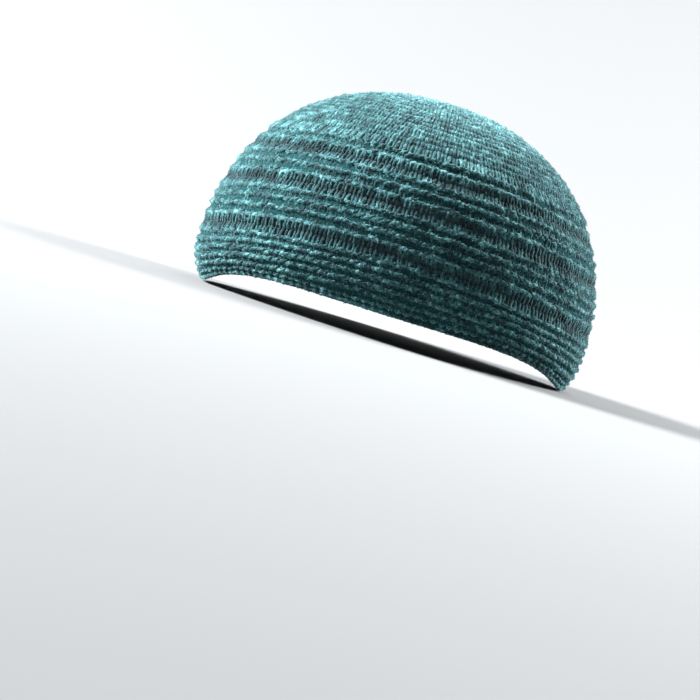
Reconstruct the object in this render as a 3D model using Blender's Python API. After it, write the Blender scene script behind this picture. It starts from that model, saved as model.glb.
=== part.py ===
"""A knitted kippah skullcap: one piece of thick chenille knit, worked in the round.

The cap stands on its own rim. +Z is up, -Y is the forehead and +X is the wearer's left.
Angles run from 0 at the forehead, over the left ear at 90 degrees, to 180 at the nape.
"""
import math
from collections import namedtuple

import bmesh
import bpy
from mathutils import Vector

# Outer sizes of the knit
CAP_LENGTH = 0.206
CAP_WIDTH = 0.162
CAP_HEIGHT = 0.123
WALL = 0.0045

# Where the cap is widest, measured up from the floor
FRONT_BELLY_HEIGHT = 0.020
SIDE_BELLY_HEIGHT = 0.038

# How far the rim is drawn in below the widest place
FRONT_TUCK = 0.0065
BACK_TUCK = 0.0040
SIDE_TUCK = 0.0035

# The rim lies flat at the forehead and the nape and arches over the ears
EAR_RISE = 0.012
REST_HALF_ANGLE = math.radians(15.0)
ARCH_SOFTNESS = 1.3

# How the knit stands out in the purl welts and sinks in the plain bands
WELT_PUFF = 0.0006
BAND_SINK = 0.0010
PUFF_SQUARENESS = 0.8
INNER_FOLLOW = 0.5

# The gathered last stitches at the top
GATHER_RADIUS = 0.009
GATHER_DEPTH = 0.0010

# Form of the head that the cap is knitted for
CROWN_FULLNESS = 2.20
FOREHEAD_NARROWING = 0.05

# Facets
SEGMENTS = 60
MERIDIAN_STEPS = 160
INNER_RINGS = 16

# The knit from the rim to the top, with all rounds equally high.
# relief is a share of WELT_PUFF where the section stands out, or of BAND_SINK where it sinks.
Section = namedtuple("Section", "name rounds relief rings")
KNIT = (
    Section("rim_welt", 6, 0.8, 6),
    Section("low_band", 2, -1.0, 4),
    Section("low_welt", 4, 1.0, 5),
    Section("middle_band", 2, -1.0, 4),
    Section("middle_welt", 3, 1.0, 4),
    Section("high_band", 2, -0.9, 4),
    Section("high_welt", 2, 0.7, 3),
    Section("crown", 20, 0.0, 12),
)

TOTAL_ROUNDS = sum(section.rounds for section in KNIT)

# Above this share of the way up, the rounds run smoothly whatever the rim does
KNIT_START_SHARE = KNIT[0].rounds / TOTAL_ROUNDS

# The rim's rounded edge from outside to inside, in shares of the wall
LipPoint = namedtuple("LipPoint", "across height")
LIP_TOP = 0.45
LIP = (
    LipPoint(0.08, 0.16),
    LipPoint(0.25, 0.0),
    LipPoint(0.75, 0.0),
    LipPoint(0.92, 0.16),
)


def clear_scene():
    for old in list(bpy.data.objects):
        bpy.data.objects.remove(old, do_unlink=True)


def plan_point(angle):
    """Outer edge of the widest level, seen from above."""
    narrowing = 1.0 - FOREHEAD_NARROWING * math.cos(angle)
    x = 0.5 * CAP_WIDTH * math.sin(angle) * narrowing
    y = -0.5 * CAP_LENGTH * math.cos(angle)
    return Vector((x, y, 0.0))


def mix_round(angle, front, side, back):
    """A size that changes smoothly from the front over the side to the back."""
    end = front if math.cos(angle) > 0.0 else back
    return end + (side - end) * math.sin(angle) ** 2


def belly_height(angle):
    return mix_round(angle, FRONT_BELLY_HEIGHT, SIDE_BELLY_HEIGHT, FRONT_BELLY_HEIGHT)


def rim_height(angle):
    """Height of the rim's lowest line: zero where the cap rests, arched over the ear."""
    rest = math.sin(REST_HALF_ANGLE)
    rise = max(0.0, (abs(math.sin(angle)) - rest) / (1.0 - rest))
    return EAR_RISE * (1.0 - (1.0 - rise) ** 2) ** ARCH_SOFTNESS


def round_lift(angle, share):
    """How far a round lies above the rim's own line, so that the bands run smoothly."""
    lift = EAR_RISE * math.sin(angle) ** 2 - rim_height(angle)
    return lift * min(1.0, share / KNIT_START_SHARE) * (1.0 - share)


def meridian(angle):
    """Points of the smooth outer surface from the top of the lip to the crown's centre."""
    plan = plan_point(angle)
    radius = plan.length
    start = rim_height(angle) + LIP_TOP * WALL
    belly = belly_height(angle)
    tuck = mix_round(angle, FRONT_TUCK, SIDE_TUCK, BACK_TUCK)
    points = []
    below = MERIDIAN_STEPS // 5
    for step in range(below):
        share = step / below
        height = start + (belly - start) * share
        reach = 1.0 - tuck * (1.0 - share) ** 2 / radius
        points.append(plan * reach + Vector((0.0, 0.0, height)))
    above = MERIDIAN_STEPS - below
    for step in range(above + 1):
        turn = 0.5 * math.pi * step / above
        reach = max(0.0, math.cos(turn)) ** (2.0 / CROWN_FULLNESS)
        climb = math.sin(turn) ** (2.0 / CROWN_FULLNESS)
        height = belly + (CAP_HEIGHT - belly) * climb
        points.append(plan * reach + Vector((0.0, 0.0, height)))
    return points


def lengths_along(points):
    """Length from the first point to each point of a line."""
    lengths = [0.0]
    for before, after in zip(points, points[1:]):
        lengths.append(lengths[-1] + (after - before).length)
    return lengths


def at_length(points, lengths, wanted):
    """The point and the direction of a line at a length from its start."""
    index = 1
    while index < len(lengths) - 1 and lengths[index] < wanted:
        index += 1
    span = lengths[index] - lengths[index - 1]
    share = min(1.0, max(0.0, (wanted - lengths[index - 1]) / span))
    heading = (points[index] - points[index - 1]).normalized()
    return points[index - 1].lerp(points[index], share), heading


def outward(angle, heading):
    """Unit direction square to the surface, from its direction round and its heading up."""
    step = 0.01
    around = plan_point(angle + step) - plan_point(angle - step)
    return around.cross(heading).normalized()


def outer_rings():
    """Each outer ring as its share of the way up and its relief in metres."""
    rings = []
    done = 0
    for section in KNIT:
        size = WELT_PUFF if section.relief > 0.0 else BAND_SINK
        for ring in range(section.rings):
            inside = ring / section.rings
            share = (done + inside * section.rounds) / TOTAL_ROUNDS
            swell = math.sin(math.pi * inside) ** PUFF_SQUARENESS
            rings.append((share, size * section.relief * swell))
        done += section.rounds
    return rings


def relief_at(share):
    """Relief of the knit at a share of the way up, read between the outer rings."""
    rings = outer_rings() + [(1.0, 0.0)]
    for (low, low_relief), (high, high_relief) in zip(rings, rings[1:]):
        if share <= high:
            inside = (share - low) / (high - low)
            return low_relief + (high_relief - low_relief) * inside
    return 0.0


def gather(point):
    """How deep the drawn-in top sinks at a point."""
    away = math.hypot(point.x, point.y) / GATHER_RADIUS
    return GATHER_DEPTH * max(0.0, 1.0 - away * away)


class Shell:
    """Reads places on the cap's outer and inner surfaces."""

    def __init__(self):
        self.angles = [2.0 * math.pi * index / SEGMENTS for index in range(SEGMENTS)]
        self.lines = [meridian(angle) for angle in self.angles]
        self.lengths = [lengths_along(line) for line in self.lines]
        self.mean_length = sum(line[-1] for line in self.lengths) / SEGMENTS

    def place(self, index, share, relief, depth):
        """A point on one meridian, depth metres inside the knit's outer surface.

        A round lies at one length from the rim on every side, and the difference
        between a long and a short meridian is taken up towards the top.
        """
        lengths = self.lengths[index]
        spare = lengths[-1] - self.mean_length
        wanted = self.mean_length * share + spare * share * share
        wanted += round_lift(self.angles[index], share)
        point, heading = at_length(self.lines[index], lengths, wanted)
        angle = self.angles[index]
        square = outward(angle, heading)
        level = Vector((square.x, square.y, 0.0)).normalized()
        away_from_rim = min(1.0, wanted / (3.0 * WALL))
        across = level.lerp(square, away_from_rim).normalized()
        sunk = Vector((0.0, 0.0, gather(point)))
        return point + across * (relief - depth) - sunk


def outer_loop(shell, share, relief):
    return [shell.place(index, share, relief, 0.0) for index in range(SEGMENTS)]


def inner_loop(shell, share):
    relief = relief_at(share) * INNER_FOLLOW
    return [shell.place(index, share, relief, WALL) for index in range(SEGMENTS)]


def lip_loop(shell, lip_point):
    """One ring of the rim's edge, between the lowest outer and inner rings."""
    loop = []
    for index, angle in enumerate(shell.angles):
        outer = shell.place(index, 0.0, 0.0, 0.0)
        inner = shell.place(index, 0.0, 0.0, WALL)
        point = outer.lerp(inner, lip_point.across)
        point.z = rim_height(angle) + lip_point.height * WALL
        loop.append(point)
    return loop


def cap_loops(shell):
    """All rings, from the top of the outside, round the rim, to the top of the inside."""
    outside = [outer_loop(shell, share, relief) for share, relief in outer_rings()]
    lip = [lip_loop(shell, lip_point) for lip_point in LIP]
    inside = [inner_loop(shell, ring / INNER_RINGS) for ring in range(INNER_RINGS)]
    return outside[::-1] + lip + inside


def build_cap(name):
    shell = Shell()
    mesh_data = bmesh.new()
    loops = []
    for loop in cap_loops(shell):
        loops.append([mesh_data.verts.new(point) for point in loop])
    top = mesh_data.verts.new((0.0, 0.0, CAP_HEIGHT - GATHER_DEPTH))
    ceiling = mesh_data.verts.new((0.0, 0.0, CAP_HEIGHT - GATHER_DEPTH - WALL))
    for index in range(SEGMENTS):
        after = (index + 1) % SEGMENTS
        mesh_data.faces.new((loops[0][index], loops[0][after], top))
        mesh_data.faces.new((loops[-1][after], loops[-1][index], ceiling))
        for upper, lower in zip(loops, loops[1:]):
            corners = (upper[after], upper[index], lower[index], lower[after])
            mesh_data.faces.new(corners)
    bmesh.ops.recalc_face_normals(mesh_data, faces=mesh_data.faces)
    mesh = bpy.data.meshes.new(name)
    mesh_data.to_mesh(mesh)
    mesh_data.free()
    mesh.shade_smooth()
    cap = bpy.data.objects.new(name, mesh)
    bpy.context.scene.collection.objects.link(cap)
    return cap


def chenille_material():
    material = bpy.data.materials.new("teal_chenille")
    material.use_nodes = True
    shader = material.node_tree.nodes["Principled BSDF"]
    shader.inputs["Base Color"].default_value = (0.045, 0.220, 0.225, 1.0)
    shader.inputs["Roughness"].default_value = 0.95
    shader.inputs["Metallic"].default_value = 0.0
    return material


clear_scene()
knit_cap = build_cap("knit_cap")
knit_cap.data.materials.append(chenille_material())
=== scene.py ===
import math
from collections import namedtuple

import bpy
import numpy as np
from mathutils import Matrix, Vector


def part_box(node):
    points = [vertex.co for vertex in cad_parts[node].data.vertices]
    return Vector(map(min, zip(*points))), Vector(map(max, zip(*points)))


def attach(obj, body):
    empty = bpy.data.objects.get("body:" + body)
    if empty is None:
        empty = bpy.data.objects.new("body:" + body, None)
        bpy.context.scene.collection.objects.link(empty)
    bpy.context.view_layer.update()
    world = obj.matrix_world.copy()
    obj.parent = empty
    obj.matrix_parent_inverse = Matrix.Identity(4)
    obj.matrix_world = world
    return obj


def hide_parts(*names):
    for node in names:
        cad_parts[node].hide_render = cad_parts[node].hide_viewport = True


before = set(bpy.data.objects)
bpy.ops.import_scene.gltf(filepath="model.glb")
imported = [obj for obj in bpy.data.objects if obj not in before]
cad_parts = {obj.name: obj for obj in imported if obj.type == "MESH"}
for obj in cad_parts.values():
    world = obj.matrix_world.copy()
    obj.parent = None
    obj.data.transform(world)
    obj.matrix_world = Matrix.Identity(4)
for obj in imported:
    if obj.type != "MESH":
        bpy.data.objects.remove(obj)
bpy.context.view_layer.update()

# The form that the cap is knitted to
# A real cap has no form of its own: the rounds are laid on the head that it is knitted for.
# This section works out that head-shaped surface, which every yarn below is laid on.
low_corner, high_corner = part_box("knit_cap")
cap_length = high_corner.y - low_corner.y
cap_width = high_corner.x - low_corner.x
cap_height = high_corner.z
fabric_thickness = 0.0045
front_belly_height = 0.020
side_belly_height = 0.038
front_tuck = 0.0065
back_tuck = 0.0040
side_tuck = 0.0035
ear_rise = 0.012
rest_half_angle = math.radians(15.0)
arch_softness = 1.3
crown_fullness = 2.20
forehead_narrowing = 0.05
rim_fold = 0.45 * fabric_thickness

# first and last are how high a section's own rounds lie, counted in rounds of the crown
KnitSection = namedtuple("KnitSection", "name rounds purl relief first last")
band_relief = -0.0008
knit_sections = (
    KnitSection("rim_welt", 6, True, 0.0004, 0.5, 5.85),
    KnitSection("low_band", 2, False, band_relief, 6.62, 7.38),
    KnitSection("low_welt", 4, True, 0.0006, 8.15, 11.85),
    KnitSection("middle_band", 2, False, band_relief, 12.62, 13.38),
    KnitSection("middle_welt", 3, True, 0.0006, 14.15, 16.85),
    KnitSection("high_band", 2, False, band_relief, 17.62, 18.38),
    KnitSection("high_welt", 2, True, 0.0004, 19.15, 20.40),
    KnitSection("crown", 20, False, 0.0, 21.5, 40.5),
)
purl_rounds = [section.purl for section in knit_sections for _ in range(section.rounds)]
total_rounds = len(purl_rounds)
rim_share = knit_sections[0].rounds / total_rounds


def plan_of(angle):
    narrowing = 1.0 - forehead_narrowing * np.cos(angle)
    across = 0.5 * cap_width * np.sin(angle) * narrowing
    along = -0.5 * cap_length * np.cos(angle)
    return np.stack([across, along, np.zeros_like(angle)], axis=-1)


def round_mix(angle, front, side, back):
    end = np.where(np.cos(angle) > 0.0, front, back)
    return end + (side - end) * np.sin(angle) ** 2


def rim_line(angle):
    rest = math.sin(rest_half_angle)
    rise = np.clip((np.abs(np.sin(angle)) - rest) / (1.0 - rest), 0.0, 1.0)
    return ear_rise * (1.0 - (1.0 - rise) ** 2) ** arch_softness


def meridian_line(angle):
    """One line from below the rim to the top: points, and lengths counted from the rim's fold."""
    plan = plan_of(np.array(angle))
    radius = np.linalg.norm(plan)
    start = float(rim_line(np.array(angle))) + rim_fold
    belly = float(round_mix(angle, front_belly_height, side_belly_height, front_belly_height))
    tuck = float(round_mix(angle, front_tuck, side_tuck, back_tuck))
    share = np.arange(-6, 36) / 36.0
    heights = start + (belly - start) * share
    reaches = 1.0 - tuck * (1.0 - share) ** 2 / radius
    turn = np.linspace(0.0, 0.5 * math.pi, 140)
    climb = np.sin(turn) ** (2.0 / crown_fullness)
    heights = np.concatenate([heights, belly + (cap_height - belly) * climb])
    reaches = np.concatenate([reaches, np.cos(turn).clip(0.0) ** (2.0 / crown_fullness)])
    points = plan[None, :] * reaches[:, None]
    points[:, 2] = heights
    steps = np.linalg.norm(np.diff(points, axis=0), axis=1)
    lengths = np.concatenate([[0.0], np.cumsum(steps)])
    return points, lengths - lengths[6]


form_angles = np.linspace(0.0, 2.0 * math.pi, 241)
form_shares = np.linspace(-0.02, 1.0, 409)
form_lines = [meridian_line(angle) for angle in form_angles]
mean_length = float(np.mean([lengths[-1] for _, lengths in form_lines]))


def lay_form():
    """The surface as a grid: one row for each angle, one column for each share of the way up."""
    grid = np.zeros((len(form_angles), len(form_shares), 3))
    for row, (angle, (points, lengths)) in enumerate(zip(form_angles, form_lines)):
        spare = lengths[-1] - mean_length
        lift = ear_rise * math.sin(angle) ** 2 - float(rim_line(np.array(angle)))
        risen = np.clip(form_shares / rim_share, 0.0, 1.0) * (1.0 - form_shares)
        wanted = mean_length * form_shares + spare * form_shares ** 2 + lift * risen
        for axis in range(3):
            grid[row, :, axis] = np.interp(wanted, lengths, points[:, axis])
    return grid


form_grid = lay_form()


def form_normals(grid):
    """Unit directions out of the surface, on the same grid."""
    wrapped = np.concatenate([grid[-2:-1], grid, grid[1:2]])
    around = wrapped[2:] - wrapped[:-2]
    upward = np.gradient(grid, axis=1)
    normals = np.cross(around, upward)
    size = np.linalg.norm(normals, axis=-1, keepdims=True)
    normals = normals / np.maximum(size, 1e-12)
    normals[:, -2:] = (0.0, 0.0, 1.0)
    return normals


form_out = form_normals(form_grid)

# Equal steps round the cap, so that all stitches of a round are equally wide
belly_steps = np.linalg.norm(np.diff(plan_of(form_angles), axis=0), axis=1)
belly_turns = np.concatenate([[0.0], np.cumsum(belly_steps)]) / belly_steps.sum()


def on_form(turns, shares, inward):
    """Points at turns round the cap and shares of the way up, that far inside its outside."""
    angle = np.interp(np.mod(turns, 1.0), belly_turns, form_angles)
    row = angle / form_angles[-1] * (len(form_angles) - 1)
    column = (shares - form_shares[0]) / (form_shares[-1] - form_shares[0])
    column = np.clip(column, 0.0, 1.0) * (len(form_shares) - 1)
    low_row = np.minimum(row.astype(int), len(form_angles) - 2)
    low_column = np.minimum(column.astype(int), len(form_shares) - 2)
    down = (row - low_row)[:, None]
    over = (column - low_column)[:, None]

    def read(grid):
        near = grid[low_row, low_column] * (1.0 - over) + grid[low_row, low_column + 1] * over
        far = grid[low_row + 1, low_column] * (1.0 - over) + grid[low_row + 1, low_column + 1] * over
        return near * (1.0 - down) + far * down

    return read(form_grid) - read(form_out) * inward[:, None]


# The pile between the stitches
# Chenille is all pile, and the short fibres of its neighbours fill the gaps behind each stitch.
# One thin closed wall stands for them, halfway through the knit, from the rim to the top; its
# colours are darker than the yarn's, painted shade between the stitches.
pile_depth = 0.0017
pile_thickness = 0.0006
pile_around = 160
pile_up = 93


def relief_of(shares):
    """How far the knit stands out of the form at shares of the way up."""
    relief = np.zeros_like(shares)
    done = 0
    for section in knit_sections:
        inside = (shares * total_rounds - done) / section.rounds
        swell = np.sin(math.pi * np.clip(inside, 0.0, 1.0)) ** 0.6
        relief += np.where((inside > 0.0) & (inside < 1.0), section.relief * swell, 0.0)
        done += section.rounds
    return relief


def closed_mesh(name, rings, top, ceiling):
    """A wall of rings, outside first and from the top down, closed at both poles."""
    count = len(rings[0])
    points = np.concatenate(rings + [top[None, :], ceiling[None, :]])
    faces = []
    for ring in range(len(rings) - 1):
        for index in range(count):
            after = (index + 1) % count
            upper = ring * count
            lower = upper + count
            faces.append((upper + after, upper + index, lower + index, lower + after))
    last = (len(rings) - 1) * count
    top_index = len(rings) * count
    for index in range(count):
        after = (index + 1) % count
        faces.append((index, after, top_index))
        faces.append((last + after, last + index, top_index + 1))
    mesh = bpy.data.meshes.new(name)
    mesh.from_pydata(points.tolist(), [], faces)
    mesh.shade_smooth()
    piece = bpy.data.objects.new(name, mesh)
    bpy.context.scene.collection.objects.link(piece)
    return piece


def pile_rings():
    turns = np.arange(pile_around) / pile_around
    shares = np.linspace(0.0, 0.985, pile_up)
    outside = []
    inside = []
    for share in shares[::-1]:
        level = np.full(pile_around, share)
        depth = pile_depth - relief_of(level)
        outside.append(on_form(turns, level, depth))
    for share in shares[::4]:
        level = np.full(pile_around, share)
        depth = pile_depth + pile_thickness - relief_of(level)
        inside.append(on_form(turns, level, depth))
    return outside + inside


pile_top = np.array([0.0, 0.0, cap_height - pile_depth])
pile_ceiling = pile_top - np.array([0.0, 0.0, pile_thickness])
pile = closed_mesh("pile_between_stitches", pile_rings(), pile_top, pile_ceiling)


def nap_group():
    """Chenille's cut fibres: fine light and dark tips, and the uneven surface that they make."""
    group = bpy.data.node_groups.new("Chenille nap", "ShaderNodeTree")
    sockets = group.interface
    sockets.new_socket("Tuft size", in_out="INPUT", socket_type="NodeSocketFloat")
    sockets.new_socket("Depth", in_out="INPUT", socket_type="NodeSocketFloat")
    sockets.new_socket("Tips", in_out="OUTPUT", socket_type="NodeSocketFloat")
    sockets.new_socket("Heather", in_out="OUTPUT", socket_type="NodeSocketFloat")
    sockets.new_socket("Normal", in_out="OUTPUT", socket_type="NodeSocketVector")
    nodes, links = group.nodes, group.links
    given = nodes.new("NodeGroupInput")
    result = nodes.new("NodeGroupOutput")
    place = nodes.new("ShaderNodeTexCoord")
    scale = nodes.new("ShaderNodeMath")
    scale.operation = "DIVIDE"
    scale.inputs[0].default_value = 1.0
    links.new(given.outputs["Tuft size"], scale.inputs[1])
    tufts = nodes.new("ShaderNodeTexNoise")
    tufts.inputs["Detail"].default_value = 3.0
    tufts.inputs["Roughness"].default_value = 0.65
    links.new(place.outputs["Object"], tufts.inputs["Vector"])
    links.new(scale.outputs[0], tufts.inputs["Scale"])
    heather = nodes.new("ShaderNodeTexNoise")
    heather.inputs["Scale"].default_value = 450.0
    heather.inputs["Detail"].default_value = 2.0
    links.new(place.outputs["Object"], heather.inputs["Vector"])
    bump = nodes.new("ShaderNodeBump")
    bump.inputs["Strength"].default_value = 0.9
    links.new(given.outputs["Depth"], bump.inputs["Distance"])
    links.new(tufts.outputs["Fac"], bump.inputs["Height"])
    links.new(tufts.outputs["Fac"], result.inputs["Tips"])
    links.new(heather.outputs["Fac"], result.inputs["Heather"])
    links.new(bump.outputs["Normal"], result.inputs["Normal"])
    return group


chenille_nap = nap_group()


def colour_steps(nodes, steps):
    """A colour ramp from (place, colour) pairs."""
    ramp = nodes.new("ShaderNodeValToRGB")
    band = ramp.color_ramp
    while len(band.elements) < len(steps):
        band.elements.new(0.5)
    for element, (place, colour) in zip(band.elements, steps):
        element.position = place
        element.color = (*colour, 1.0)
    return ramp


def pile_material():
    material = bpy.data.materials.new("Chenille pile in shade")
    material.use_nodes = True
    nodes, links = material.node_tree.nodes, material.node_tree.links
    shader = nodes["Principled BSDF"]
    shader.inputs["Roughness"].default_value = 1.0
    shader.inputs["Specular IOR Level"].default_value = 0.1
    nap = nodes.new("ShaderNodeGroup")
    nap.node_tree = chenille_nap
    nap.inputs["Tuft size"].default_value = 0.0008
    nap.inputs["Depth"].default_value = 0.0006
    # Painted shade: the pile's colours are darker than the yarn's, for the shade between the
    # stitches
    ramp = colour_steps(nodes, ((0.35, (0.004, 0.022, 0.025)), (0.70, (0.014, 0.080, 0.085))))
    links.new(nap.outputs["Tips"], ramp.inputs["Fac"])
    links.new(ramp.outputs["Color"], shader.inputs["Base Color"])
    links.new(nap.outputs["Normal"], shader.inputs["Normal"])
    return material


pile.data.materials.append(pile_material())
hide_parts("knit_cap")
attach(pile, "root")


# The chenille yarn and its stitches
# Each round is one turn of the same soft yarn, looped round the cap beside the round below.
# A plain stitch shows its two legs, and a purl stitch the same loop from its other side.
yarn_thickness = 0.0024
plain_loop_reach = 0.90
purl_loop_reach = 0.98
plain_loop_swing = 0.16
purl_loop_swing = 0.24
# How much painted shade darkens the sunken plain bands
band_painted_shade = 1.1
plain_loop_depth = 0.0009
purl_loop_depth = 0.0009
purl_slimness = 0.88
plain_fullness = 1.08
stitches_round = 128
wedges = 8
tuft_length = 0.0008
tuft_width = 0.00022
tufts_in_square_metre = 8.0e5
tuft_lean = 0.9
smallest_tuft = 0.6
largest_tuft = 1.3
least_facing = 0.3
tuft_seed = 7
crown_stitch_width = 0.0037
lump_size = 0.0016
lump_height = 0.0006
points_in_stitch = 8
yarn_sides = 6


def smooth_noise(rng, count, samples):
    """Smooth random values from -1 to 1, one for each of count places round a closed round."""
    values = rng.uniform(-1.0, 1.0, count)
    places = np.arange(count + 1) / count
    return np.interp(samples, places, np.append(values, values[0]))


def round_levels():
    """How high each round lies, in rounds of the crown."""
    spans = [np.linspace(part.first, part.last, part.rounds) for part in knit_sections]
    return np.concatenate(spans)


levels = round_levels()


def stitches_in(share):
    """How many stitches a round has: fewer towards the top, in whole wedges."""
    level = np.full(240, share)
    ring = on_form(np.arange(240) / 240.0, level, np.zeros(240))
    around = np.linalg.norm(np.roll(ring, -1, axis=0) - ring, axis=1).sum()
    crown_start = 1.0 - knit_sections[-1].rounds / total_rounds
    if share < crown_start:
        return stitches_round
    wanted = wedges * round(around / crown_stitch_width / wedges)
    return max(wedges, min(stitches_round, wanted))


def yarn_round(number, seed):
    """The path of one round, with its girth, how far out it lies and its tone at each point; the
    tone holds painted shade in the sunken plain bands.

    A bow of the yarn lies in front where it belongs to a purl ridge, and behind elsewhere.
    """
    rng = np.random.default_rng(seed + number)
    share = levels[number] / total_rounds
    count = stitches_in(share)
    steps = np.arange(count * points_in_stitch) / points_in_stitch
    turn = 2.0 * math.pi * np.mod(steps, 1.0)
    where = steps / count
    purl = purl_rounds[number]
    purl_above = purl_rounds[min(number + 1, total_rounds - 1)]
    purl_below = purl_rounds[max(number - 1, 0)]
    upper = np.cos(turn) >= 0.0
    ridge = np.where(upper, purl_above, purl_below)

    swing = np.where(ridge, purl_loop_swing, plain_loop_swing)
    swing = swing * (1.0 + 0.25 * smooth_noise(rng, count * 2, where))
    across = steps + swing * np.sin(2.0 * turn)
    across += 0.07 * smooth_noise(rng, count * 2, where)

    climb = np.cos(turn)
    climb = np.where(ridge, 1.5 * climb - 0.5 * climb ** 3, climb)
    steps_up = np.diff(levels, prepend=levels[0] - 1.0, append=levels[-1] + 1.0)
    height = np.where(upper, steps_up[number + 1], steps_up[number]) * mean_length / total_rounds
    height *= np.where(ridge, purl_loop_reach, plain_loop_reach)
    height = height * (1.0 + 0.10 * smooth_noise(rng, count * 2, where))
    rise = height * climb
    rise += 0.0004 * smooth_noise(rng, 23, where) + 0.0003 * smooth_noise(rng, count, where)
    if number == 0:
        rise = np.maximum(rise, -mean_length * share - rim_fold + 0.55 * yarn_thickness)
    shares = share + rise / mean_length

    legs = -purl_loop_depth if purl else plain_loop_depth
    bows = np.where(ridge, purl_loop_depth, -plain_loop_depth)
    out = legs * np.sin(turn) ** 2 + bows * np.cos(turn) ** 2
    # front: how far out each point of the yarn lies; the material paints the deeper parts darker,
    # painted shade in the depth of the knit
    front = 0.5 + 0.5 * out / plain_loop_depth
    out += 0.00030 * smooth_noise(rng, count * 2, where) + 0.0002 * smooth_noise(rng, 17, where)
    relief = relief_of(np.clip(shares, 0.0, 0.999))
    inward = 0.5 * fabric_thickness - out - relief
    path = on_form((across + 0.5) / count, np.minimum(shares, 0.998), inward)

    near_top = np.clip((share - 0.9) / 0.1, 0.0, 1.0)
    girth = 1.0 + 0.14 * smooth_noise(rng, count * 3, where) - 0.2 * near_top
    girth *= np.where(ridge, purl_slimness, plain_fullness)
    tone = 0.55 * smooth_noise(rng, count, where) + 0.55 * smooth_noise(rng, count * 3, where)
    # Painted shade: the sunken plain bands are made darker, as if in the shade of the welts beside
    # them
    tone -= band_painted_shade * np.clip(relief / band_relief, 0.0, 1.0)
    return path, girth, front, tone


def cast_on_edge(seed):
    """The firm cast-on: one nearly straight turn of yarn along the rim."""
    rng = np.random.default_rng(seed)
    steps = np.arange(stitches_round * points_in_stitch) / points_in_stitch
    where = steps / stitches_round
    lift = 0.5 * yarn_thickness - rim_fold + 0.0003 + 0.00015 * (1.0 + np.cos(2.0 * math.pi * steps))
    shares = lift / mean_length
    inward = 0.0019 - 0.0002 * np.sin(2.0 * math.pi * steps)
    path = on_form(where, shares, inward + 0.0001 * smooth_noise(rng, 90, where))
    girth = 1.0 + 0.06 * smooth_noise(rng, 256, where)
    tone = smooth_noise(rng, 90, where)
    return path, girth, np.full(len(steps), 0.7), tone


def guide_of(name, rounds, seed):
    """The rounds as closed lines of points, which carry what the yarn is at each point."""
    paths = [yarn_round(number, seed) for number in rounds]
    if rounds[0] == 0:
        paths.append(cast_on_edge(seed))
    points = np.concatenate([path for path, _, _, _ in paths])
    edges = []
    done = 0
    for path, _, _, _ in paths:
        index = np.arange(len(path))
        edges.append(np.stack([done + index, done + np.roll(index, -1)], axis=1))
        done += len(path)
    mesh = bpy.data.meshes.new(name)
    mesh.from_pydata(points.tolist(), np.concatenate(edges).tolist(), [])
    for column, attribute in enumerate(("girth", "front", "tone"), start=1):
        layer = mesh.attributes.new(attribute, "FLOAT", "POINT")
        layer.data.foreach_set("value", np.concatenate([path[column] for path in paths]))
    guide = bpy.data.objects.new(name, mesh)
    bpy.context.scene.collection.objects.link(guide)
    return guide


def cut_tuft():
    """One tuft of pile: a slim three-sided point whose open foot is hidden in the yarn."""
    points = [(0.0, 0.0, tuft_length)]
    for corner in range(3):
        turn = 2.0 * math.pi * corner / 3
        points.append((tuft_width * math.cos(turn), tuft_width * math.sin(turn), -0.2 * tuft_length))
    mesh = bpy.data.meshes.new("tuft")
    mesh.from_pydata(points, [], [(0, 1, 2), (0, 2, 3), (0, 3, 1)])
    # tip is 1 at the point and 0 at the foot; the material paints the points lighter, painted light
    # on the tips
    tip = mesh.attributes.new("tip", "FLOAT", "POINT")
    tip.data.foreach_set("value", (1.0, 0.0, 0.0, 0.0))
    return bpy.data.objects.new("tuft", mesh)


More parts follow.
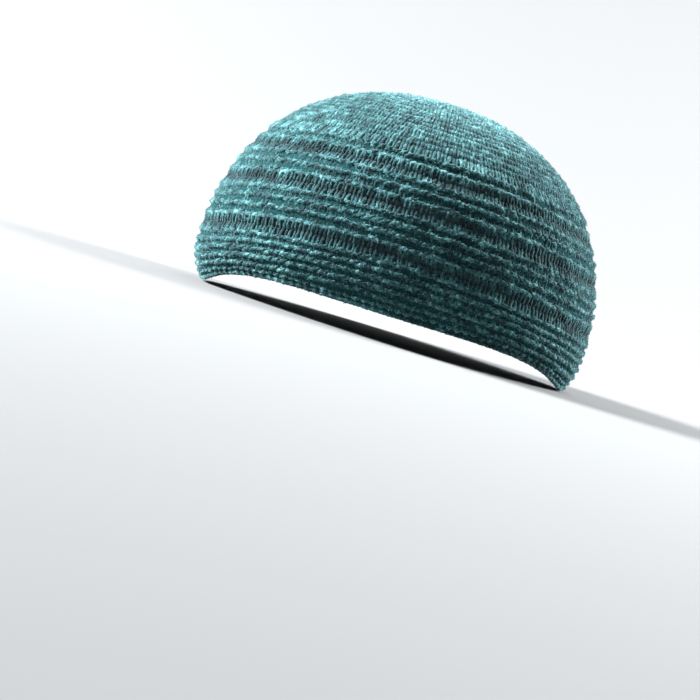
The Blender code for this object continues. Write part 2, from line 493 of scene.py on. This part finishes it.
def sow_tufts(nodes, links, given, yarn, square):
    """Tufts on the side of the yarn that faces out of the cap, leaning at random."""
    place = nodes.new("GeometryNodeInputPosition")
    rounder = nodes.new("ShaderNodeVectorMath")
    rounder.operation = "MULTIPLY"
    whole_sizes = (cap_width, cap_length, 2.0 * cap_height)
    rounder.inputs[1].default_value = [1.0 / size ** 2 for size in whole_sizes]
    links.new(place.outputs["Position"], rounder.inputs[0])
    outward = nodes.new("ShaderNodeVectorMath")
    outward.operation = "NORMALIZE"
    links.new(rounder.outputs["Vector"], outward.inputs[0])
    facing = nodes.new("ShaderNodeVectorMath")
    facing.operation = "DOT_PRODUCT"
    links.new(outward.outputs["Vector"], facing.inputs[0])
    links.new(square, facing.inputs[1])
    chosen = nodes.new("FunctionNodeCompare")
    chosen.data_type = "FLOAT"
    chosen.operation = "GREATER_THAN"
    chosen.inputs["B"].default_value = least_facing
    links.new(facing.outputs["Value"], chosen.inputs["A"])
    sown = nodes.new("GeometryNodeDistributePointsOnFaces")
    links.new(yarn, sown.inputs["Mesh"])
    links.new(chosen.outputs["Result"], sown.inputs["Selection"])
    links.new(given.outputs["Tufts in a square metre"], sown.inputs["Density"])
    links.new(given.outputs["Seed"], sown.inputs["Seed"])
    lean = nodes.new("FunctionNodeRandomValue")
    lean.data_type = "FLOAT_VECTOR"
    lean.inputs["Min"].default_value = (-tuft_lean, -tuft_lean, -tuft_lean)
    lean.inputs["Max"].default_value = (tuft_lean, tuft_lean, tuft_lean)
    links.new(given.outputs["Seed"], lean.inputs["Seed"])
    stand = nodes.new("ShaderNodeVectorMath")
    stand.operation = "ADD"
    links.new(sown.outputs["Normal"], stand.inputs[0])
    links.new(lean.outputs["Value"], stand.inputs[1])
    turned = nodes.new("FunctionNodeAlignRotationToVector")
    turned.axis = "Z"
    links.new(stand.outputs["Vector"], turned.inputs["Vector"])
    tuft = nodes.new("GeometryNodeObjectInfo")
    links.new(given.outputs["Tuft"], tuft.inputs["Object"])
    size = nodes.new("FunctionNodeRandomValue")
    size.data_type = "FLOAT"
    size.inputs[2].default_value = smallest_tuft
    size.inputs[3].default_value = largest_tuft
    links.new(given.outputs["Seed"], size.inputs["Seed"])
    set_out = nodes.new("GeometryNodeInstanceOnPoints")
    links.new(sown.outputs["Points"], set_out.inputs["Points"])
    links.new(tuft.outputs["Geometry"], set_out.inputs["Instance"])
    links.new(turned.outputs["Rotation"], set_out.inputs["Rotation"])
    links.new(size.outputs[1], set_out.inputs["Scale"])
    fleck = nodes.new("FunctionNodeRandomValue")
    fleck.data_type = "FLOAT"
    fleck.inputs[2].default_value = -1.0
    fleck.inputs[3].default_value = 1.0
    links.new(given.outputs["Seed"], fleck.inputs["Seed"])
    flecked = nodes.new("GeometryNodeStoreNamedAttribute")
    flecked.data_type = "FLOAT"
    flecked.domain = "INSTANCE"
    flecked.inputs["Name"].default_value = "fleck"
    links.new(set_out.outputs["Instances"], flecked.inputs["Geometry"])
    links.new(fleck.outputs[1], flecked.inputs["Value"])
    return flecked.outputs["Geometry"]


def yarn_tree():
    """Lays yarn along closed lines: round, uneven in girth, with a slightly lumpy pile."""
    tree = bpy.data.node_groups.new("Chenille yarn", "GeometryNodeTree")
    sockets = tree.interface
    sockets.new_socket("Geometry", in_out="INPUT", socket_type="NodeSocketGeometry")
    sockets.new_socket("Yarn thickness", in_out="INPUT", socket_type="NodeSocketFloat")
    sockets.new_socket("Sides", in_out="INPUT", socket_type="NodeSocketInt")
    sockets.new_socket("Lump size", in_out="INPUT", socket_type="NodeSocketFloat")
    sockets.new_socket("Lump height", in_out="INPUT", socket_type="NodeSocketFloat")
    sockets.new_socket("Tuft", in_out="INPUT", socket_type="NodeSocketObject")
    sockets.new_socket("Tufts in a square metre", in_out="INPUT", socket_type="NodeSocketFloat")
    sockets.new_socket("Seed", in_out="INPUT", socket_type="NodeSocketInt")
    sockets.new_socket("Yarn", in_out="INPUT", socket_type="NodeSocketMaterial")
    sockets.new_socket("Geometry", in_out="OUTPUT", socket_type="NodeSocketGeometry")
    nodes, links = tree.nodes, tree.links
    given = nodes.new("NodeGroupInput")
    result = nodes.new("NodeGroupOutput")
    lines = nodes.new("GeometryNodeMeshToCurve")
    links.new(given.outputs["Geometry"], lines.inputs["Mesh"])
    girth = nodes.new("GeometryNodeInputNamedAttribute")
    girth.data_type = "FLOAT"
    girth.inputs["Name"].default_value = "girth"
    half = nodes.new("ShaderNodeMath")
    half.operation = "MULTIPLY"
    half.inputs[1].default_value = 0.5
    links.new(given.outputs["Yarn thickness"], half.inputs[0])
    radius = nodes.new("ShaderNodeMath")
    radius.operation = "MULTIPLY"
    links.new(half.outputs[0], radius.inputs[0])
    links.new(girth.outputs["Attribute"], radius.inputs[1])
    section = nodes.new("GeometryNodeCurvePrimitiveCircle")
    section.inputs["Radius"].default_value = 1.0
    links.new(given.outputs["Sides"], section.inputs["Resolution"])
    swept = nodes.new("GeometryNodeCurveToMesh")
    links.new(lines.outputs["Curve"], swept.inputs["Curve"])
    links.new(section.outputs["Curve"], swept.inputs["Profile Curve"])
    links.new(radius.outputs[0], swept.inputs["Scale"])
    place = nodes.new("GeometryNodeInputPosition")
    scale = nodes.new("ShaderNodeMath")
    scale.operation = "DIVIDE"
    scale.inputs[0].default_value = 1.0
    links.new(given.outputs["Lump size"], scale.inputs[1])
    lumps = nodes.new("ShaderNodeTexNoise")
    lumps.inputs["Detail"].default_value = 1.0
    links.new(place.outputs["Position"], lumps.inputs["Vector"])
    links.new(scale.outputs[0], lumps.inputs["Scale"])
    level = nodes.new("ShaderNodeMath")
    level.operation = "SUBTRACT"
    level.inputs[1].default_value = 0.5
    links.new(lumps.outputs["Fac"], level.inputs[0])
    push = nodes.new("ShaderNodeMath")
    push.operation = "MULTIPLY"
    links.new(level.outputs[0], push.inputs[0])
    links.new(given.outputs["Lump height"], push.inputs[1])
    square = nodes.new("GeometryNodeInputNormal")
    offset = nodes.new("ShaderNodeVectorMath")
    offset.operation = "SCALE"
    links.new(square.outputs["Normal"], offset.inputs[0])
    links.new(push.outputs[0], offset.inputs["Scale"])
    moved = nodes.new("GeometryNodeSetPosition")
    links.new(swept.outputs["Mesh"], moved.inputs["Geometry"])
    links.new(offset.outputs["Vector"], moved.inputs["Offset"])
    smooth = nodes.new("GeometryNodeSetShadeSmooth")
    links.new(moved.outputs["Geometry"], smooth.inputs["Geometry"])
    tufts = sow_tufts(nodes, links, given, smooth.outputs["Geometry"], square.outputs["Normal"])
    both = nodes.new("GeometryNodeJoinGeometry")
    links.new(smooth.outputs["Geometry"], both.inputs["Geometry"])
    links.new(tufts, both.inputs["Geometry"])
    real = nodes.new("GeometryNodeRealizeInstances")
    links.new(both.outputs["Geometry"], real.inputs["Geometry"])
    dressed = nodes.new("GeometryNodeSetMaterial")
    links.new(real.outputs["Geometry"], dressed.inputs["Geometry"])
    links.new(given.outputs["Yarn"], dressed.inputs["Material"])
    links.new(dressed.outputs["Geometry"], result.inputs["Geometry"])
    return tree


tuft = cut_tuft()
chenille_yarn = yarn_tree()


def set_input(modifier, name, value):
    for item in modifier.node_group.interface.items_tree:
        if item.item_type == "SOCKET" and item.in_out == "INPUT" and item.name == name:
            modifier[item.identifier] = value


def spin_yarn(guide, name, material):
    """Runs the yarn along the guide's lines and leaves a plain mesh."""
    modifier = guide.modifiers.new("Chenille yarn", "NODES")
    modifier.node_group = chenille_yarn
    set_input(modifier, "Yarn thickness", yarn_thickness)
    set_input(modifier, "Sides", yarn_sides)
    set_input(modifier, "Lump size", lump_size)
    set_input(modifier, "Lump height", lump_height)
    set_input(modifier, "Tuft", tuft)
    set_input(modifier, "Tufts in a square metre", tufts_in_square_metre)
    set_input(modifier, "Seed", tuft_seed)
    set_input(modifier, "Yarn", material)
    shown = bpy.context.evaluated_depsgraph_get()
    mesh = bpy.data.meshes.new_from_object(guide.evaluated_get(shown))
    mesh.name = name
    guide.modifiers.clear()
    knit = bpy.data.objects.new(name, mesh)
    bpy.context.scene.collection.objects.link(knit)
    bpy.data.objects.remove(guide, do_unlink=True)
    return knit


def chenille_material():
    """Teal chenille: heathered along the yarn, with painted light on the tufts' tips and painted
    shade in the depth of the knit and in the sunken plain bands.
    """
    material = bpy.data.materials.new("Teal chenille")
    material.use_nodes = True
    nodes, links = material.node_tree.nodes, material.node_tree.links
    shader = nodes["Principled BSDF"]
    shader.inputs["Roughness"].default_value = 0.85
    shader.inputs["Specular IOR Level"].default_value = 0.25
    shader.inputs["Sheen Weight"].default_value = 0.6
    shader.inputs["Sheen Roughness"].default_value = 0.35
    shader.inputs["Sheen Tint"].default_value = (0.52, 0.95, 1.0, 1.0)
    nap = nodes.new("ShaderNodeGroup")
    nap.node_tree = chenille_nap
    nap.inputs["Tuft size"].default_value = 0.0007
    nap.inputs["Depth"].default_value = 0.0006
    front = nodes.new("ShaderNodeAttribute")
    front.attribute_name = "front"
    tone = nodes.new("ShaderNodeAttribute")
    tone.attribute_name = "tone"

    def weigh(socket, weight, start):
        """start plus weight times the socket's value."""
        node = nodes.new("ShaderNodeMath")
        node.operation = "MULTIPLY_ADD"
        node.inputs[1].default_value = weight
        links.new(socket, node.inputs[0])
        if isinstance(start, float):
            node.inputs[2].default_value = start
        else:
            links.new(start, node.inputs[2])
        return node.outputs[0]

    tip = nodes.new("ShaderNodeAttribute")
    tip.attribute_name = "tip"
    fleck = nodes.new("ShaderNodeAttribute")
    fleck.attribute_name = "fleck"
    light = weigh(nap.outputs["Tips"], 1.3, -0.84)
    light = weigh(nap.outputs["Heather"], 0.9, light)
    light = weigh(tone.outputs["Fac"], 0.29, light)
    light = weigh(fleck.outputs["Fac"], 0.20, light)
    # Painted shade: yarn that lies deeper in the knit is made darker
    light = weigh(front.outputs["Fac"], 0.28, light)
    # Painted light: the tufts are made lighter towards their tips
    light = weigh(tip.outputs["Fac"], 0.15, light)
    ramp = colour_steps(
        nodes,
        (
            (0.12, (0.003, 0.014, 0.018)),
            (0.42, (0.012, 0.052, 0.059)),
            (0.68, (0.050, 0.165, 0.173)),
            (0.98, (0.210, 0.430, 0.440)),
        ),
    )
    links.new(light, ramp.inputs["Fac"])
    links.new(ramp.outputs["Color"], shader.inputs["Base Color"])
    links.new(nap.outputs["Normal"], shader.inputs["Normal"])
    return material


teal_chenille = chenille_material()


def knit_piece(name, rounds):
    guide = guide_of(name + "_lines", rounds, seed=40)
    knit = spin_yarn(guide, name, teal_chenille)
    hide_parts("knit_cap")
    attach(knit, "root")
    return knit


rounds_done = 0
for section in knit_sections[:-1]:
    last = rounds_done + section.rounds
    knit_piece(section.name + "_stitches", range(rounds_done, last))
    rounds_done = last

# The crown
# Plain rounds with eight decreases in each, so its columns of stitches run together at the top.
# The last stitches are drawn closed with the end of the yarn.
crown_half = rounds_done + 7
knit_piece("crown_lower_stitches", range(rounds_done, crown_half))
knit_piece("crown_upper_stitches", range(crown_half, total_rounds))


# The studio
# A pale sweep with a large soft light from the front and left, a weaker one from behind the
# nape, and one for the backdrop.
# The cap lies level, so the camera is rolled to show it at the photograph's slope.
pixel = 0.00051
picture_middle = (350.0, 350.0)
cap_in_picture = (414.1, 219.5)
slope = math.radians(17.16)
distance = 1.4
sensor = 36.0
picture_width = 700


def pale_material(name, colour):
    material = bpy.data.materials.new(name)
    material.use_nodes = True
    shader = material.node_tree.nodes["Principled BSDF"]
    shader.inputs["Base Color"].default_value = (*colour, 1.0)
    shader.inputs["Roughness"].default_value = 0.9
    return material


def sweep():
    """A pale floor that curves up behind the cap, as a sheet of studio paper does."""
    half_width = 4.0
    bend = 1.5
    bend_start = -0.25
    bend_steps = 32
    profile = [(3.0, 0.0), (bend_start, 0.0)]
    for step in range(1, bend_steps + 1):
        turn = 0.5 * math.pi * step / bend_steps
        profile.append((bend_start - bend * math.sin(turn), bend * (1.0 - math.cos(turn))))
    profile.append((bend_start - bend, 4.0))
    points = []
    for x, z in profile:
        points.append((x, -half_width, z))
        points.append((x, half_width, z))
    faces = [(2 * i + 2, 2 * i + 3, 2 * i + 1, 2 * i) for i in range(len(profile) - 1)]
    mesh = bpy.data.meshes.new("studio_sweep")
    mesh.from_pydata(points, [], faces)
    mesh.shade_smooth()
    mesh.materials.append(pale_material("Studio paper", (0.16, 0.16, 0.16)))
    paper = bpy.data.objects.new("studio_sweep", mesh)
    bpy.context.scene.collection.objects.link(paper)


def soft_light(name, place, target, size, power, colour):
    data = bpy.data.lights.new(name, "AREA")
    data.shape = "DISK"
    data.size = size
    data.energy = power
    data.color = colour
    light = bpy.data.objects.new(name, data)
    light.location = place
    light.rotation_euler = (Vector(target) - Vector(place)).to_track_quat("-Z", "Y").to_euler()
    bpy.context.scene.collection.objects.link(light)


def photo_camera():
    """Level with the cap and square to its left side, rolled and aimed as the photograph is."""
    right = Vector((0.0, math.cos(slope), math.sin(slope)))
    up = Vector((0.0, -math.sin(slope), math.cos(slope)))
    centre = Vector((0.0, 0.0, 0.5 * cap_height))
    aside = (picture_middle[0] - cap_in_picture[0]) * pixel
    above = (cap_in_picture[1] - picture_middle[1]) * pixel
    target = centre + right * aside + up * above
    place = centre + Vector((distance, 0.0, 0.0))
    back = (place - target).normalized()
    right = up.cross(back).normalized()
    up = back.cross(right)
    data = bpy.data.cameras.new("camera")
    data.sensor_width = sensor
    data.lens = sensor * (place - target).length / (picture_width * pixel)
    camera = bpy.data.objects.new("camera", data)
    camera.matrix_world = Matrix.Translation(place) @ Matrix((right, up, back)).transposed().to_4x4()
    bpy.context.scene.collection.objects.link(camera)
    bpy.context.scene.camera = camera


def pale_world():
    world = bpy.data.worlds.new("studio")
    world.use_nodes = True
    background = world.node_tree.nodes["Background"]
    background.inputs["Color"].default_value = (0.90, 0.95, 1.0, 1.0)
    background.inputs["Strength"].default_value = 0.09
    bpy.context.scene.world = world


sweep()
middle = (0.0, 0.0, 0.06)
soft_light("key", (0.0, -1.90, 1.16), middle, 1.0, 320.0, (0.94, 0.98, 1.0))
soft_light("rim", (-0.60, 1.60, 1.00), middle, 1.0, 130.0, (0.94, 0.98, 1.0))
soft_light("backdrop_light", (-0.6, 0.3, 1.9), (-1.2, 0.0, 0.3), 1.2, 30.0, (1.0, 1.0, 1.0))
photo_camera()
pale_world()
bpy.context.scene.view_settings.view_transform = "Standard"
